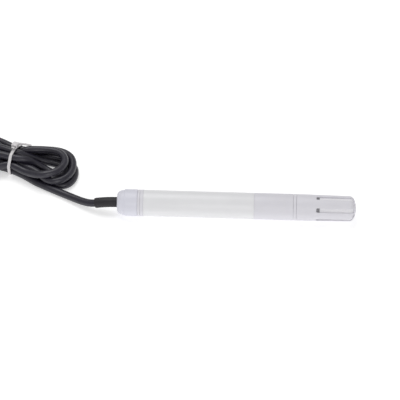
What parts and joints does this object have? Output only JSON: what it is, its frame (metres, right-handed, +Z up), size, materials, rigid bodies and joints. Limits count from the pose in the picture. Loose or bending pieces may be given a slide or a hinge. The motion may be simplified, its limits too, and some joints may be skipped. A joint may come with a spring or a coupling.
{
  "type": "soil moisture sensor",
  "caption": "Slim white cylindrical moisture and temperature probe with a slotted screw-on filter cap, a rear cable gland, a black sleeve and a dark cable tied in a hank.",
  "frame": {"origin": "under the middle of the probe (rear face of the rear cap to the tip), on the surface that it lies on", "axes": "+X along the probe towards its slotted tip, +Z up"},
  "size_m": [0.2905, 0.0818, 0.0181],
  "materials": {
    "white_plastic": "moulded, fine satin grain",
    "label_film": "blank printed film, semi-gloss",
    "filter_white": "sintered, porous, matte",
    "black_rubber": "soft matte",
    "cable_sheath": "extruded PVC, satin",
    "tie_nylon": "natural nylon, slightly translucent",
    "board_green": "solder mask, glossy",
    "chip_black": "moulded epoxy",
    "bright_metal": "tinned, bright",
    "connector_cream": "moulded nylon",
    "core_red": "PVC wire insulation",
    "core_black": "PVC wire insulation",
    "core_yellow": "PVC wire insulation",
    "core_green": "PVC wire insulation"
  },
  "bodies": {
    "root": {"probe_tube": "white_plastic", "label_wrap": "label_film", "gland_body": "white_plastic", "cable_seal": "black_rubber", "rear_o_ring": "black_rubber", "strain_relief_sleeve": "black_rubber", "cable_jacket_end": "cable_sheath", "sensor_carrier": "white_plastic", "front_o_ring": "black_rubber", "sensor_board": "board_green", "humidity_chip": "chip_black", "decoupling_capacitor": "connector_cream", "main_board": "board_green", "microcontroller": "chip_black", "transceiver": "chip_black", "voltage_regulator": "chip_black", "crystal": "bright_metal", "bulk_capacitor": "core_yellow", "wire_connector": "connector_cream", "board_link": "connector_cream", "conductor_1": "core_red", "conductor_2": "core_black", "conductor_3": "core_yellow", "conductor_4": "core_green", "cable_lead": "cable_sheath", "cable_hank": "cable_sheath", "cable_tail": "cable_sheath", "cable_tie": "tie_nylon", "tail_core_1": "core_red", "tail_core_2": "core_black", "tail_core_3": "core_yellow", "tail_core_4": "core_green", "tail_ferrule_1": "bright_metal", "tail_ferrule_2": "bright_metal", "tail_ferrule_3": "bright_metal", "tail_ferrule_4": "bright_metal"},
    "filter_carriage": {"filter_insert": "filter_white", "filter_seat_gasket": "black_rubber"},
    "filter_cap": {"filter_cap": "white_plastic"},
    "washer_carriage": {"thrust_washer": "connector_cream"},
    "rear_cap": {"rear_cap": "white_plastic"}
  },
  "joints": [
    {"name": "filter_advance", "type": "slide", "parent": "root", "child": "filter_carriage", "axis": [1, 0, 0], "range_m": [0, 0.006]},
    {"name": "filter_cap_turn", "type": "hinge", "parent": "filter_carriage", "child": "filter_cap", "pos_m": [0.036, 0, 0.0081], "axis": [1, 0, 0], "range_deg": [0, 1440]},
    {"name": "washer_advance", "type": "slide", "parent": "root", "child": "washer_carriage", "axis": [-1, 0, 0], "range_m": [0, 0.0045]},
    {"name": "rear_cap_turn", "type": "hinge", "parent": "washer_carriage", "child": "rear_cap", "pos_m": [-0.072, 0, 0.0081], "axis": [-1, 0, 0], "range_deg": [0, 1080]}
  ],
  "couplings": [
    {"joint": "filter_cap_turn", "follows": "filter_advance", "rad_per_m": 4188.8},
    {"joint": "rear_cap_turn", "follows": "washer_advance", "rad_per_m": 4188.8}
  ]
}
